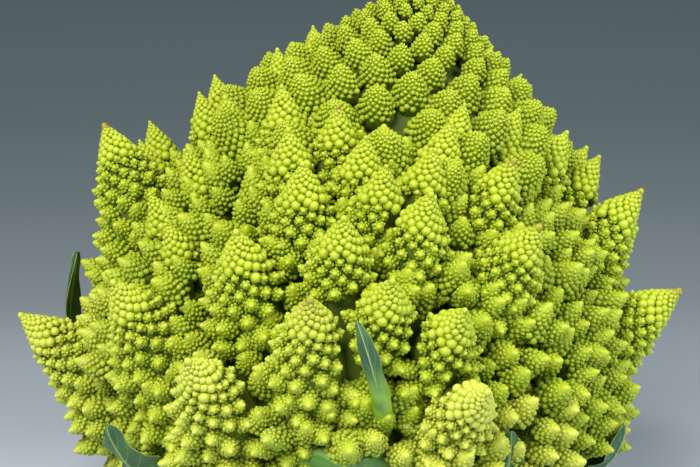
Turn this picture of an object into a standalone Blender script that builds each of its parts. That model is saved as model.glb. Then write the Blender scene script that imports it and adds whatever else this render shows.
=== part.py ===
"""A head of romanesco, standing on the cut end of its stalk.

The origin is the centre of the stalk's cut face, +Z runs up the stalk, and the head's fuller side faces -Y.
A short upright stalk carries a head that leans to +X. Each floret is a branch of its own and a convex
solid here: a cone from its tip to its widest ring, then a taper to its root on the stalk. The florets
round the tip of the stem are too small to part and grow as one crown. Leaves start low on the stalk.
"""

import math

import bmesh
import bpy
from mathutils import Matrix, Vector

MM = 0.001
GAP = 0.3 * MM

# The stalk: an upright cut stump, then a stem that leans with the head and tapers to the crown.
STUMP_RADIUS = 25 * MM
STUMP_TOP = 30 * MM
CUT_BEVEL = 1.5 * MM
STEM_RADIUS_LOW = 21 * MM
STEM_RADIUS_HIGH = 8 * MM
STEM_SIDES = 32

# The head leans about the top of the stump. Drops are measured down its axis from the crown's tip.
HEAD_LEAN = math.radians(10)
HEAD_TIP = 113 * MM
HEAD_REACH = 92 * MM
HEAD_SHOULDER = 42 * MM
HEAD_FULLNESS = 1.4

# A floret: its length to the widest ring against its width, then as shares of the length and the width a
# ring halfway down the cone and one below the widest, and how far down the cone its heart lies.
CONE_LENGTH = 1.15
CONE_MIDDLE = (0.42, 0.31)
BELLY = (0.3, 0.42)
HEART = 0.7
ROOT_RADIUS = 4 * MM
FLORET_SIDES = 10
ROOT_DROP_TOP = 53 * MM
ROOT_DROP_SLOPE = 0.72
ROOT_DROP_FROM = 24 * MM

CROWN_DROP = 23 * MM
CROWN_NECK_DROP = 51 * MM
CROWN_SIDES = 24

# The florets of the fuller side, each as turn from -Y in degrees, drop and width in mm, rise in degrees and,
# on one that stands out from the rest, by how many mm.
FRONT_FLORETS = (
    (-83, 102, 32, 30), (-29, 91, 32, 38), (20, 85, 34, 34), (81, 66, 38, 45, 1),
    (-49, 80, 30, 44), (-12, 71, 34, 50), (14, 68, 22, 46), (1, 64, 25, 50),
    (-84, 48, 34, 58, 11), (-29, 61, 25, 54), (-10, 53, 26, 57), (7, 45, 23, 60),
    (32, 49, 31, 57), (84, 43, 28, 60, 5), (32, 36, 26, 64), (89, 37, 18, 67),
    (-23, 44, 19, 62), (-4, 41, 14, 63), (-75, 37, 24, 66, -5), (-32, 38, 17, 65),
    (8, 36, 16, 65), (-11, 36, 14, 66), (75, 31, 17, 69, -1), (-48, 30, 14, 70),
    (-86, 24, 16, 70, 1), (-23, 31, 13, 70), (14, 30, 14, 70), (48, 26, 15, 70),
    (79, 28, 13, 71, -4), (21, 26, 12, 72),
)

# The florets of the other side, as tiers: first turn, step between turns, count, drop, width and rise. A tier
# stays nearly level on the leaning head: its drop is less on the side that the head leans to.
LEVEL = 15 * MM
LEVEL_FROM = 35 * MM
LEVEL_TO = 86 * MM
BACK_TIERS = (
    (121, 39, 4, 86, 34, 34),
    (108, 36, 4, 66, 33, 46),
    (124, 35, 4, 50, 28, 56),
    (106, 30, 5, 38, 22, 63),
    (118, 36, 4, 29, 16, 69),
)

# Each leaf: where its path starts, bends and ends, as turn in degrees with reach and height in mm,
# its widths at the root, the waist and the blade in mm, its thickness in mm, and the turn of its face.
LEAVES = {
    "leaf_front": ((-2, 26, 28), (11, 81, 30), (1, 79, 69), (9, 6, 7), 2.2, 0),
    "leaf_stub_front": ((-1, 26, 9), (-1, 50, 12), (-1, 70, 34), (26, 26, 26), 6.0, 0),
    "leaf_low_left": ((-52, 26, 12), (-50, 66, 9), (-47, 80, 38), (9, 9, 18), 2.0, 20),
    "leaf_left": ((-103, 26, 13), (-101, 88, 8), (-97, 75, 70), (14, 14, 17), 2.2, 0),
    "leaf_low_right": ((38, 26, 12), (36, 66, 10), (32, 72, 38), (9, 9, 13), 2.0, -15),
    "leaf_right": ((68, 26, 12), (68, 72, 9), (66, 75, 32), (9, 9, 14), 2.0, 10),
    "leaf_back": ((180, 26, 14), (180, 100, 8), (178, 98, 62), (13, 15, 34), 2.4, 0),
}
LEAF_STATIONS = 12
LEAF_CUP = 0.16


def clear_scene():
    for item in list(bpy.data.objects):
        bpy.data.objects.remove(item, do_unlink=True)


def material(name, colour, roughness):
    """A Principled material with a plain colour."""
    made = bpy.data.materials.new(name)
    made.use_nodes = True
    shader = made.node_tree.nodes["Principled BSDF"]
    shader.inputs["Base Color"].default_value = (*colour, 1.0)
    shader.inputs["Roughness"].default_value = roughness
    shader.inputs["Metallic"].default_value = 0.0
    return made


def place(name, bm, finish, parent, origin):
    """Makes an object of a bmesh whose points are in the parent's frame, its own origin at a point there."""
    bmesh.ops.translate(bm, verts=bm.verts, vec=-origin)
    bmesh.ops.recalc_face_normals(bm, faces=bm.faces)
    mesh = bpy.data.meshes.new(name)
    bm.to_mesh(mesh)
    bm.free()
    mesh.shade_smooth()
    mesh.set_sharp_from_angle(angle=math.radians(35))
    mesh.materials.append(finish)
    made = bpy.data.objects.new(name, mesh)
    made.location = origin
    made.parent = parent
    bpy.context.scene.collection.objects.link(made)
    return made


def around(turn, reach, height):
    """The point at this turn from -Y towards +X, in degrees, this far from the axis and this high."""
    angle = math.radians(turn)
    return Vector((reach * math.sin(angle), -reach * math.cos(angle), height))


def ring(centre, axis, radius, sides):
    """Points round a circle across an axis."""
    side = axis.orthogonal().normalized()
    other = axis.cross(side)
    turns = [2 * math.pi * i / sides for i in range(sides)]
    return [centre + radius * (math.cos(t) * side + math.sin(t) * other) for t in turns]


def hull(points):
    """The convex hull of some points, as a new bmesh of its outer faces only."""
    bm = bmesh.new()
    for point in points:
        bm.verts.new(point)
    made = bmesh.ops.convex_hull(bm, input=bm.verts, use_existing_faces=False)
    spare = [item for item in made["geom_interior"] if isinstance(item, bmesh.types.BMVert)]
    bmesh.ops.delete(bm, geom=spare, context="VERTS")
    return bm


def clipped(points, planes):
    """The convex hull of some points, cut back to the inner side of each (point, outward normal) plane."""
    bm = hull(points)
    for point, normal in planes:
        geometry = bm.verts[:] + bm.edges[:] + bm.faces[:]
        bmesh.ops.bisect_plane(bm, geom=geometry, plane_co=point, plane_no=normal, clear_outer=True)
    corners = [vert.co.copy() for vert in bm.verts]
    bm.free()
    return hull(corners)


def head_reach(drop):
    """How far florets' tips stand from the head's axis at a drop below the crown's tip: a cone that rounds
    over into a steep side."""
    return HEAD_REACH * (1 - math.exp(-((drop / HEAD_SHOULDER) ** HEAD_FULLNESS)))


class Floret:
    """One floret's driving points, in the head's frame."""

    def __init__(self, turn, drop, width, rise, out=0):
        self.width = width * MM
        self.tip = around(turn, head_reach(drop * MM) + out * MM, HEAD_TIP - drop * MM)
        outward = around(turn, 1, 0)
        rise = math.radians(rise)
        self.axis = math.cos(rise) * outward + math.sin(rise) * Vector((0, 0, 1))
        root_drop = ROOT_DROP_TOP + ROOT_DROP_SLOPE * (drop * MM - ROOT_DROP_FROM)
        root_height = HEAD_TIP - root_drop
        self.root = around(turn, stem_radius(root_height) + 2 * GAP, root_height)
        self.heart = self.tip - HEART * CONE_LENGTH * self.width * self.axis
        self.branch = (self.heart - self.root).normalized()

    def points(self):
        """The tip, two rings down the cone, the belly where it bends to its branch, and the root's ring."""
        length = CONE_LENGTH * self.width
        middle = self.tip - CONE_MIDDLE[0] * length * self.axis
        widest = self.tip - length * self.axis
        belly = widest - BELLY[0] * length * self.branch
        found = [self.tip]
        found += ring(middle, self.axis, CONE_MIDDLE[1] * self.width, FLORET_SIDES)
        found += ring(widest, self.axis, 0.5 * self.width, FLORET_SIDES)
        found += ring(belly, self.branch, BELLY[1] * self.width, FLORET_SIDES)
        return found + ring(self.root, self.branch, ROOT_RADIUS, 6)

    def frame(self):
        """The three points that the floret hangs on."""
        return self.root, self.heart, self.tip


def stem_radius(height):
    """The leaning stem's radius at a height above the stump, which tapers evenly to its top."""
    share = min(max(height / (HEAD_TIP - CROWN_NECK_DROP), 0.0), 1.0)
    return STEM_RADIUS_LOW + share * (STEM_RADIUS_HIGH - STEM_RADIUS_LOW)


def plane_between(one, other):
    """The plane that best parts two florets: of the ways to look from one to the other, the one that leaves
    the widest room between their roots, hearts and tips. Their widths share the room, less half the gap."""
    hearts = other.heart - one.heart
    tips = other.tip - one.tip
    branches = (one.branch + other.branch).normalized()
    axes = (one.axis + other.axis).normalized()
    ways = [hearts, tips, hearts - hearts.dot(branches) * branches, tips - tips.dot(axes) * axes]
    ways += [hearts - hearts.dot(axes) * axes, hearts + tips]
    best = None
    for way in (item.normalized() for item in ways):
        near = max(point.dot(way) for point in one.frame())
        far = min(point.dot(way) for point in other.frame())
        if best is None or far - near > best[0]:
            best = (far - near, near, way)
    room, near, way = best
    share = one.width / (one.width + other.width)
    return (near + share * room - 0.5 * GAP) * way, way


def plane_off_stem(floret):
    """The plane that touches the stem's side at the floret's root."""
    flat = Vector((floret.root.x, floret.root.y, 0)).normalized()
    slope = (STEM_RADIUS_LOW - STEM_RADIUS_HIGH) / (HEAD_TIP - CROWN_NECK_DROP)
    outward = (flat + slope * Vector((0, 0, 1))).normalized()
    on_side = flat * stem_radius(floret.root.z) + Vector((0, 0, floret.root.z))
    return on_side + GAP * outward, -outward


class Leaf:
    """One leaf's stations, in the object's frame: centre, side and face directions, half width, thickness."""

    def __init__(self, start, bend, end, widths, thickness, face_turn):
        corners = [around(turn, reach * MM, height * MM) for turn, reach, height in (start, bend, end)]
        self.stations = []
        for i in range(LEAF_STATIONS):
            t = i / (LEAF_STATIONS - 1)
            centre = (1 - t) ** 2 * corners[0] + 2 * t * (1 - t) * corners[1] + t * t * corners[2]
            along = ((1 - t) * (corners[1] - corners[0]) + t * (corners[2] - corners[1])).normalized()
            level = around(start[0] + 90, 1, 0)
            side = Matrix.Rotation(math.radians(face_turn) * t, 3, along) @ level
            side = (side - side.dot(along) * along).normalized()
            width = widths[0] + (widths[1] - widths[0]) * min(1, 2 * t)
            blade = math.sin(math.pi * min(1, max(0, t - 0.35) / 0.6))
            width = width + (widths[2] - width) * blade
            width *= 1 - 0.75 * max(0, (t - 0.85) / 0.15) ** 2
            self.stations.append((centre, side, along.cross(side), 0.5 * width * MM, thickness * MM))

    def section(self, station):
        """Eight points round a shallow crescent: four along its outer face, four back along its inner one."""
        centre, side, face, half, thickness = station
        spread = (-1, -0.4, 0.4, 1)
        cup = [LEAF_CUP * 2 * half * s * s for s in spread]
        thin = [0.5 * thickness * (1 - 0.6 * s * s) for s in spread]
        outer = [centre + half * s * side + (c + d) * face for s, c, d in zip(spread, cup, thin)]
        inner = [centre + half * s * side + (c - d) * face for s, c, d in zip(spread, cup, thin)]
        return outer + inner[::-1]

    def mesh(self):
        """The crescents joined along the path, with a flat face at each end."""
        bm = bmesh.new()
        rows = [[bm.verts.new(point) for point in self.section(item)] for item in self.stations]
        for low, high in zip(rows, rows[1:]):
            for i in range(len(low)):
                j = (i + 1) % len(low)
                bm.faces.new((low[i], low[j], high[j], high[i]))
        bm.faces.new(rows[0][::-1])
        bm.faces.new(rows[-1])
        bmesh.ops.triangulate(bm, faces=bm.faces)
        return bm


def planes_off_leaf(heart, leaf, to_head):
    """Planes that keep a floret off each stretch of a leaf, seen from the floret's heart."""
    found = []
    for low, high in zip(leaf.stations, leaf.stations[1:]):
        corners = [to_head @ point for item in (low, high) for point in leaf.section(item)]
        middle = sum(corners, Vector()) / len(corners)
        along = (to_head @ high[0] - to_head @ low[0]).normalized()
        towards = middle - heart
        towards = (towards - towards.dot(along) * along).normalized()
        nearest = min(corners, key=lambda corner: corner.dot(towards))
        found.append((nearest - GAP * towards, towards))
    return found


def overlaps(points, others, margin):
    """Whether two groups of points lie closer than a margin, box against box."""
    for axis in range(3):
        lowest = min(point[axis] for point in points) - margin
        highest = max(point[axis] for point in points) + margin
        if max(point[axis] for point in others) < lowest or min(point[axis] for point in others) > highest:
            return False
    return True


def make_stalk(finish):
    """The upright stump with its bevelled cut face, bridged to the leaning stem above it."""
    bm = bmesh.new()
    lean = head_matrix()
    levels = [
        (Matrix.Translation((0, 0, 0)), STUMP_RADIUS - CUT_BEVEL),
        (Matrix.Translation((0, 0, CUT_BEVEL)), STUMP_RADIUS),
        (Matrix.Translation((0, 0, 0.6 * STUMP_TOP)), 0.97 * STUMP_RADIUS),
        (lean, STEM_RADIUS_LOW),
        (lean @ Matrix.Translation((0, 0, HEAD_TIP - CROWN_NECK_DROP - GAP)), STEM_RADIUS_HIGH),
    ]
    up = Vector((0, 0, 1))
    rows = []
    for matrix, radius in levels:
        rows.append([bm.verts.new(matrix @ p) for p in ring(Vector(), up, radius, STEM_SIDES)])
    for low, high in zip(rows, rows[1:]):
        for i in range(STEM_SIDES):
            j = (i + 1) % STEM_SIDES
            bm.faces.new((low[i], low[j], high[j], high[i]))
    bm.faces.new(rows[0][::-1])
    bm.faces.new(rows[-1])
    return place("stalk", bm, finish, None, Vector())


def head_matrix():
    return Matrix.Translation((0, 0, STUMP_TOP)) @ Matrix.Rotation(HEAD_LEAN, 4, "Y")


def crown_points():
    """The crown: a cone over its widest ring, and a neck that tapers to the top of the stem."""
    up = Vector((0, 0, 1))
    levels = [(0.35, 0.35), (0.7, 0.69), (1.0, 1.0)]
    found = [Vector((0, 0, HEAD_TIP))]
    for down, out in levels:
        centre = Vector((0, 0, HEAD_TIP - down * CROWN_DROP))
        found += ring(centre, up, out * head_reach(CROWN_DROP), CROWN_SIDES)
    neck = Vector((0, 0, HEAD_TIP - CROWN_NECK_DROP + GAP))
    return found + ring(neck, up, STEM_RADIUS_HIGH, CROWN_SIDES)


def plane_off_crown(floret):
    """The plane between a floret and the crown: through a point just outside the crown's rim on the floret's
    side, along the floret's branch and across the turn, with its normal towards the crown."""
    outward = Vector((floret.tip.x, floret.tip.y, 0)).normalized()
    rim = outward * head_reach(CROWN_DROP) + Vector((0, 0, HEAD_TIP - CROWN_DROP))
    neck = outward * STEM_RADIUS_HIGH + Vector((0, 0, HEAD_TIP - CROWN_NECK_DROP))
    along = (rim - neck).normalized()
    inward = (along.dot(outward) * Vector((0, 0, 1)) - along.z * outward).normalized()
    return rim - GAP * inward, inward


def main():
    clear_scene()
    stem_green = material("stalk_green", (0.42, 0.55, 0.20), 0.55)
    leaf_green = material("leaf_green", (0.09, 0.26, 0.09), 0.45)
    curd_green = material("floret_green", (0.50, 0.62, 0.06), 0.50)
    tip_green = material("crown_green", (0.46, 0.62, 0.07), 0.50)

    head = bpy.data.objects.new("head_frame", None)
    head.matrix_world = head_matrix()
    bpy.context.scene.collection.objects.link(head)
    to_head = head_matrix().inverted()

    florets = [Floret(*row) for row in FRONT_FLORETS]
    for first, step, count, drop, width, rise in BACK_TIERS:
        for turn in [first + step * i for i in range(count)]:
            share = max(drop * MM - LEVEL_FROM, 0) / (LEVEL_TO - LEVEL_FROM)
            raised = share * LEVEL * math.sin(math.radians(turn)) / MM
            florets.append(Floret(turn, drop - raised, width, rise))
    leaves = {name: Leaf(*shape) for name, shape in LEAVES.items()}

    for number, floret in enumerate(florets, start=1):
        points = floret.points()
        planes = [plane_off_stem(floret), plane_off_crown(floret)]
        for other in florets:
            if other is not floret and overlaps(points, other.points(), GAP):
                planes.append(plane_between(floret, other))
        for leaf in leaves.values():
            reached = [to_head @ point for item in leaf.stations for point in leaf.section(item)]
            if overlaps(points, reached, GAP):
                planes += planes_off_leaf(floret.heart, leaf, to_head)
        place(f"floret_{number:02d}", clipped(points, planes), curd_green, head, floret.root)

    place("crown", hull(crown_points()), tip_green, head, Vector((0, 0, HEAD_TIP - CROWN_DROP)))
    for name, leaf in leaves.items():
        place(name, leaf.mesh(), leaf_green, None, leaf.stations[0][0])
    make_stalk(stem_green)
    bpy.context.view_layer.update()


main()
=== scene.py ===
# %% [markdown]
# # A head of romanesco
# A romanesco repeats one form at every size. The head is a cone of florets, each floret is a cone of
# knobs, and each knob is a cone of buds. The members of every cone stand on one spiral, a golden
# angle apart. The rough solid of the head is loaded first, and it settles where each floret stands.
# Everything finer is worked out here with numpy, so the same few formulas serve from the smallest
# bud, under a millimetre wide, to the whole head.

# %% Open the frame
import math

import bpy
import numpy as np
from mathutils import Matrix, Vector
from mathutils.bvhtree import BVHTree


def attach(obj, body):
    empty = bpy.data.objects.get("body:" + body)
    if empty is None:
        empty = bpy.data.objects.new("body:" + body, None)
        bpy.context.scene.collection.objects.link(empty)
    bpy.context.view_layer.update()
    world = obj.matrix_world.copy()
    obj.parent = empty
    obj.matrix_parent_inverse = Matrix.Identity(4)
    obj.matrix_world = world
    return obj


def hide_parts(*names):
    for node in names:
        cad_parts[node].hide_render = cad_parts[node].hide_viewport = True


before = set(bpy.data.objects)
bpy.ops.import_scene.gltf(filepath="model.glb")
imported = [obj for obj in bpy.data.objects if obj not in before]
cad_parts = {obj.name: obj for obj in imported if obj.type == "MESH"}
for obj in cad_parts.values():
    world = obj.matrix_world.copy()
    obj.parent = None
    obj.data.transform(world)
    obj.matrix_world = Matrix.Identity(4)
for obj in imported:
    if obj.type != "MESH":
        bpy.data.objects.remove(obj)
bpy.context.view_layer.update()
MM = 0.001

# %% [markdown]
# ## Where the camera stands
# The head is seen from a little above its middle, through a long lens from two thirds of a metre, as
# still life is usually shot. A long lens keeps the near florets from swelling. The camera comes first
# because everything made later is seen through it.

# %% Set the camera
VIEW_DISTANCE = 0.65
VIEW_HEIGHT = math.radians(10)
LOOKED_AT = Vector((0.0, 0.0, 0.075))
SENSOR_WIDTH = 36.0
LENS_LENGTH = 128.7

camera_data = bpy.data.cameras.new("camera")
camera_data.sensor_width = SENSOR_WIDTH
camera_data.lens = LENS_LENGTH
camera = bpy.data.objects.new("camera", camera_data)
camera_back = Vector((0.0, -math.cos(VIEW_HEIGHT), math.sin(VIEW_HEIGHT)))
camera.location = LOOKED_AT + VIEW_DISTANCE * camera_back
camera.rotation_euler = (math.pi / 2 - VIEW_HEIGHT, 0.0, 0.0)
bpy.context.scene.collection.objects.link(camera)
bpy.context.scene.camera = camera
print("camera at", [round(value, 3) for value in camera.location])

# %% [markdown]
# ## The frame of the head
# The stalk stands upright, and the head leans from the top of the stump. It is easier to think of
# the florets along the head's own axis, so points are turned into the head's frame, worked on, and
# turned back. A rotation is a 3 × 3 array, and multiplying a whole array of points by it turns all
# of them at once.

# %% Turn points into the leaning head and back
HEAD_LEAN = math.radians(10)
STUMP_TOP = 30 * MM
HEAD_TIP = 113 * MM

lean = np.array([
    [math.cos(HEAD_LEAN), 0.0, math.sin(HEAD_LEAN)],
    [0.0, 1.0, 0.0],
    [-math.sin(HEAD_LEAN), 0.0, math.cos(HEAD_LEAN)],
])
head_base = np.array([0.0, 0.0, STUMP_TOP])


def into_head(points):
    """World points as the leaning head sees them: less the head's base, then turned upright."""
    return (points - head_base) @ lean


def out_of_head(points):
    """Points of the upright head put back into the world: turned by the lean, then moved up."""
    return points @ lean.T + head_base


def solid_points(node):
    """All the points of one solid of the frame, as an array in the world."""
    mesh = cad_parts[node].data
    flat = np.empty(len(mesh.vertices) * 3)
    mesh.vertices.foreach_get("co", flat)
    return flat.reshape(-1, 3)


# %% [markdown]
# ## Reading the florets' places
# Each floret's solid is a cone that ends in a root on the stem. Its tip is the point farthest out and
# up, and its root is the few points nearest the head's axis. Its width and the angle at which it
# rises come from the plan of the head: the oldest florets, at the bottom, are the widest and stand
# out the most, and the younger they are the more they point up the axis.

# %% Read each floret's tip, root, width and rise
FRONT_WIDTHS = (
    36, 40, 40, 42, 36, 40, 27, 34, 38, 33, 33, 31, 38, 34, 33,
    24, 25, 18, 32, 22, 20, 18, 22, 18, 20, 17, 18, 19, 17, 15,
)
FRONT_RISES = (
    30, 38, 34, 45, 44, 50, 46, 50, 58, 54, 57, 60, 57, 60, 64,
    67, 62, 63, 66, 65, 65, 66, 69, 70, 70, 70, 70, 70, 71, 72,
)
BACK_TIERS = ((4, 40, 34), (4, 39, 46), (4, 34, 56), (5, 28, 63), (4, 21, 69))

widths = list(FRONT_WIDTHS)
rises = list(FRONT_RISES)
for tier_count, tier_width, tier_rise in BACK_TIERS:
    widths += [tier_width] * tier_count
    rises += [tier_rise] * tier_count
floret_names = sorted(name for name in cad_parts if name.startswith("floret"))


def unit(vectors):
    """Vectors scaled to length one."""
    return vectors / np.linalg.norm(vectors, axis=-1, keepdims=True)


def floret_plan(name, width, rise):
    """One floret in the head's frame: tip, root, axis and width. The axis points away from the head's
    axis in plan and climbs at the rise. The root is the middle of the five innermost points."""
    points = into_head(solid_points(name))
    reach = np.hypot(points[:, 0], points[:, 1])
    tip = points[np.argmax(reach + points[:, 2])]
    root = points[np.argsort(reach)[:5]].mean(axis=0)
    outward = unit(np.array([tip[0], tip[1], 0.0]))
    climb = math.radians(rise)
    axis = math.cos(climb) * outward + math.sin(climb) * np.array([0.0, 0.0, 1.0])
    return {"name": name, "tip": tip, "root": root, "axis": axis, "width": width * MM}


plans = [floret_plan(*row) for row in zip(floret_names, widths, rises)]
print(len(plans), "florets, from", min(widths), "to", max(widths), "mm wide")

# %% [markdown]
# ## A cone's outline and its spiral
# A cone of the plant is a turned form: a rounded point that swells evenly to its widest ring and then
# tucks in. Its members stand at golden-angle turns. How far down each one stands follows from area:
# a member claims a hexagon as wide as the spacing at its place, so adding up the surface from the
# tip and dividing by those hexagons numbers the members. Because the spacing grows with the distance
# from the tip, the members grow too, and the spiral rows appear on their own.

# %% Work out an outline and the places on it
GOLDEN_ANGLE = math.radians(137.50776)
HEXAGON = 0.866
OUTLINE_POINTS = 160


def outline(width, stretch, curve, blunt, tail, flare=0.0):
    """Distances down from the tip and the radius at each. With u the distance over the length
    (stretch × width), the radius is half the width × (1 - (1 - u)^curve)^blunt up to the full width.
    Below that, for the tail's share of the length, it grows evenly by the flare. A blunt of 1 is
    pointed, and a half is a dome. The points lie closest together at the tip."""
    length = stretch * width
    down = (1 + tail) * length * np.linspace(0.0, 1.0, OUTLINE_POINTS) ** 1.5
    share = np.minimum(down / length, 1.0)
    below = np.maximum(down / length - 1, 0.0)
    return down, 0.5 * width * (1 - (1 - share) ** curve) ** blunt * (1 + flare * below)


def spiral(down, radius, first, growth, swell=0.0, most=1.0):
    """Places on a turned outline. With s the slanting distance from the tip, the spacing is
    first + growth × s + swell × s squared, and never more than the most. The count down to a ring is
    the integral of 2 pi × radius over 0.866 × spacing squared."""
    step = np.hypot(np.diff(down), np.diff(radius))
    slant = np.concatenate([[0.0], np.cumsum(step)])
    spacing = np.minimum(first + growth * slant + swell * slant ** 2, most)
    density = 2 * np.pi * radius / (HEXAGON * spacing ** 2)
    claimed = np.concatenate([[0.0], np.cumsum(0.5 * (density[1:] + density[:-1]) * step)])
    count = int(claimed[-1])
    at = np.interp(np.arange(count) + 0.5, claimed, slant)
    slope = np.arctan2(np.gradient(radius, slant), np.gradient(down, slant))
    return {
        "down": np.interp(at, slant, down),
        "radius": np.interp(at, slant, radius),
        "spacing": np.interp(at, slant, spacing),
        "slope": np.interp(at, slant, slope),
        "share": at / slant[-1],
        "turn": GOLDEN_ANGLE * np.arange(count),
    }


print("members stand", round(math.degrees(GOLDEN_ANGLE), 1), "degrees apart")

# %% [markdown]
# ## A heap of points
# A floret is thousands of buds in one mesh. Adding them one at a time would be slow, so a heap
# collects whole arrays of points and triangles, and turns them into a mesh once, at the end. Every
# point also carries two triples that the finish reads. The first says how far up its bud, its knob
# and its floret it lies. The second is a chance value, the floret's paleness and how scarred it is.
# Both are kept as attributes of the mesh, so the finish follows the buds wherever they turn.

# %% Collect arrays and make one mesh of them
class Heap:
    """Points, triangles and the two triples of one piece."""

    def __init__(self):
        self.points = []
        self.faces = []
        self.growth = []
        self.tone = []
        self.count = 0

    def add(self, points, faces, growth, tone):
        self.points.append(points)
        self.faces.append(faces + self.count)
        self.growth.append(growth)
        self.tone.append(tone)
        self.count += len(points)

    def piece(self, name, finish):
        """One smooth object of everything in the heap, placed in the world by its mesh."""
        points = np.concatenate(self.points)
        faces = np.concatenate(self.faces)
        mesh = bpy.data.meshes.new(name)
        mesh.vertices.add(len(points))
        mesh.vertices.foreach_set("co", points.ravel())
        mesh.loops.add(faces.size)
        mesh.loops.foreach_set("vertex_index", faces.ravel())
        mesh.polygons.add(len(faces))
        mesh.polygons.foreach_set("loop_start", np.arange(len(faces)) * 3)
        mesh.polygons.foreach_set("use_smooth", np.full(len(faces), True))
        mesh.update(calc_edges=True)
        for key, rows in (("growth", self.growth), ("tone", self.tone)):
            layer = mesh.attributes.new(key, "FLOAT_VECTOR", "POINT")
            layer.data.foreach_set("vector", np.concatenate(rows).ravel())
        mesh.materials.append(finish)
        made = bpy.data.objects.new(name, mesh)
        bpy.context.scene.collection.objects.link(made)
        return made


def place_piece(made, node):
    """Hides the node of the frame that a piece stands for, and puts the piece on the one body."""
    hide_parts(node)
    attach(made, "root")
    return made


# %% [markdown]
# ## One bud, copied many times
# The smallest bud is copied tens of thousands of times, so it has only a few faces: a ring of points
# with one point above and one below. Smooth shading rounds it. A larger bud and a bead have a second
# ring, and a berry's lower ring goes in and out, as if set with buds too small to make. All of them
# are closed, and their lower half is sunk in what they grow on.

# %% Make the small forms and the way to stamp them
def small_form(rings, sides):
    """Points and triangles of a closed turned form about z: an apex, rings of (radius, height), and a
    lowest point. Point numbers run ring by ring."""
    turn = 2 * np.pi * np.arange(sides) / sides
    points = [np.array([[0.0, 0.0, 1.0]])]
    for radius, height in rings:
        level = np.full(sides, height)
        points.append(np.stack([radius * np.cos(turn), radius * np.sin(turn), level], 1))
    points.append(np.array([[0.0, 0.0, -1.0]]))
    here = np.arange(sides)
    after = (here + 1) % sides
    faces = [np.stack([np.zeros(sides, int), 1 + here, 1 + after], 1)]
    for number in range(len(rings) - 1):
        high = 1 + number * sides
        low = high + sides
        faces.append(np.stack([high + here, low + here, low + after], 1))
        faces.append(np.stack([high + here, low + after, high + after], 1))
    last = 1 + (len(rings) - 1) * sides
    bottom = np.full(sides, last + sides)
    faces.append(np.stack([last + after, last + here, bottom], 1))
    return np.concatenate(points), np.concatenate(faces)


def tube_faces(rows, sides):
    """The triangles of a closed tube of rings with a point at both ends."""
    return small_form([(1, 0)] * rows, sides)[1]


def berried(form, sides, push):
    """A form of two rings with every other point of its lower ring pushed in and the rest out."""
    points, faces = form
    points = points.copy()
    number = np.arange(sides)
    swing = np.where(number % 2 == 1, 1 + push, 1 - push)
    points[1 + sides + number, :2] *= swing[:, None]
    return points, faces


BUD = small_form([(0.98, 0.15)], 4)
ROUND_BUD = small_form([(0.68, 0.72), (1.0, 0.0)], 5)
BEAD = small_form([(0.64, 0.76), (1.0, 0.05)], 6)
BERRY = berried(small_form([(0.58, 0.8), (1.0, 0.1)], 10), 10, 0.072)
print("faces of the small forms:", [len(form[1]) for form in (BUD, ROUND_BUD, BEAD, BERRY)])


def across(along):
    """Two unit vectors square to each direction and to each other."""
    spare = np.where(np.abs(along[:, 2:3]) < 0.9, [[0.0, 0.0, 1.0]], [[1.0, 0.0, 0.0]])
    side = unit(np.cross(spare, along))
    return side, np.cross(along, side)


def stamp(heap, form, origin, along, radius, height, knob_share, branch_share, tone):
    """Copies a small form to each origin:
    origin + radius × (x × side + y × other) + height × z × along.
    A point's share up its bud is its height in the form, from 0 at the widest ring to 1 at the apex."""
    points, faces = form
    side, other = across(along)
    flat = points[None, :, 0:1] * side[:, None, :] + points[None, :, 1:2] * other[:, None, :]
    upward = height[:, None, None] * points[None, :, 2:3] * along[:, None, :]
    placed = origin[:, None, :] + radius[:, None, None] * flat + upward
    copies = len(origin)
    size = len(points)
    shift = (np.arange(copies) * size)[:, None, None]
    rise = np.clip(points[:, 2], 0.0, 1.0)
    growth = np.empty((copies, size, 3))
    growth[:, :, 0] = rise[None, :]
    growth[:, :, 1] = knob_share[:, None]
    growth[:, :, 2] = branch_share[:, None]
    tones = np.repeat(tone[:, None, :], size, axis=1)
    heap.add(
        placed.reshape(-1, 3),
        (faces[None] + shift).reshape(-1, 3),
        growth.reshape(-1, 3),
        tones.reshape(-1, 3),
    )


# %% [markdown]
# ## A knob with its own spiral of buds
# A knob is a smooth little cone with buds round its sides. A small knob is nearly a dome, bare on top,
# with only faint buds below. A large one is pointed, and its buds stand out in clear rows. The knobs
# of the crown are younger, and even buds cover them to the top. So one function makes every knob,
# and its kind and width settle how pointed, how bare and how rough it is. The places of its buds are
# worked out once for each width and kept.

# %% Make knobs of any width
BUD_FIRST = 0.84 * MM
BUD_GROWTH = 0.2
YOUNG_FIRST = 0.9 * MM
YOUNG_GROWTH = 0.1
ROUND_BUD_FROM = 1.0 * MM
KNOB_SIZES = (2.0 * MM, 4.5 * MM, 7.5 * MM)
KNOB_STEP = 0.25 * MM
KNOB_KINDS = {
    "grown": {
        "first": (BUD_FIRST, BUD_FIRST, YOUNG_FIRST),
        "growth": (BUD_GROWTH, BUD_GROWTH, 0.12),
        "stretch": (0.65, 0.82, 1.02),
        "curve": (1.45, 1.45, 1.45),
        "blunt": (0.5, 0.58, 0.74),
        "bare": (0.45, 0.24, 0.02),
        "relief": (0.35, 0.55, 0.6),
        "lowest": (0.62, 0.7, 0.85),
        "sunk": (0.0, 0.0, 0.0),
    },
    "young": {
        "first": (YOUNG_FIRST, YOUNG_FIRST, YOUNG_FIRST),
        "growth": (YOUNG_GROWTH, YOUNG_GROWTH, YOUNG_GROWTH),
        "stretch": (0.7, 0.85, 0.9),
        "curve": (1.5, 1.5, 1.5),
        "blunt": (0.5, 0.55, 0.68),
        "bare": (0.0, 0.0, 0.0),
        "relief": (0.6, 0.6, 0.6),
        "lowest": (0.75, 0.75, 0.75),
        "sunk": (0.8, 0.8, 0.8),
    },
}
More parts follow.
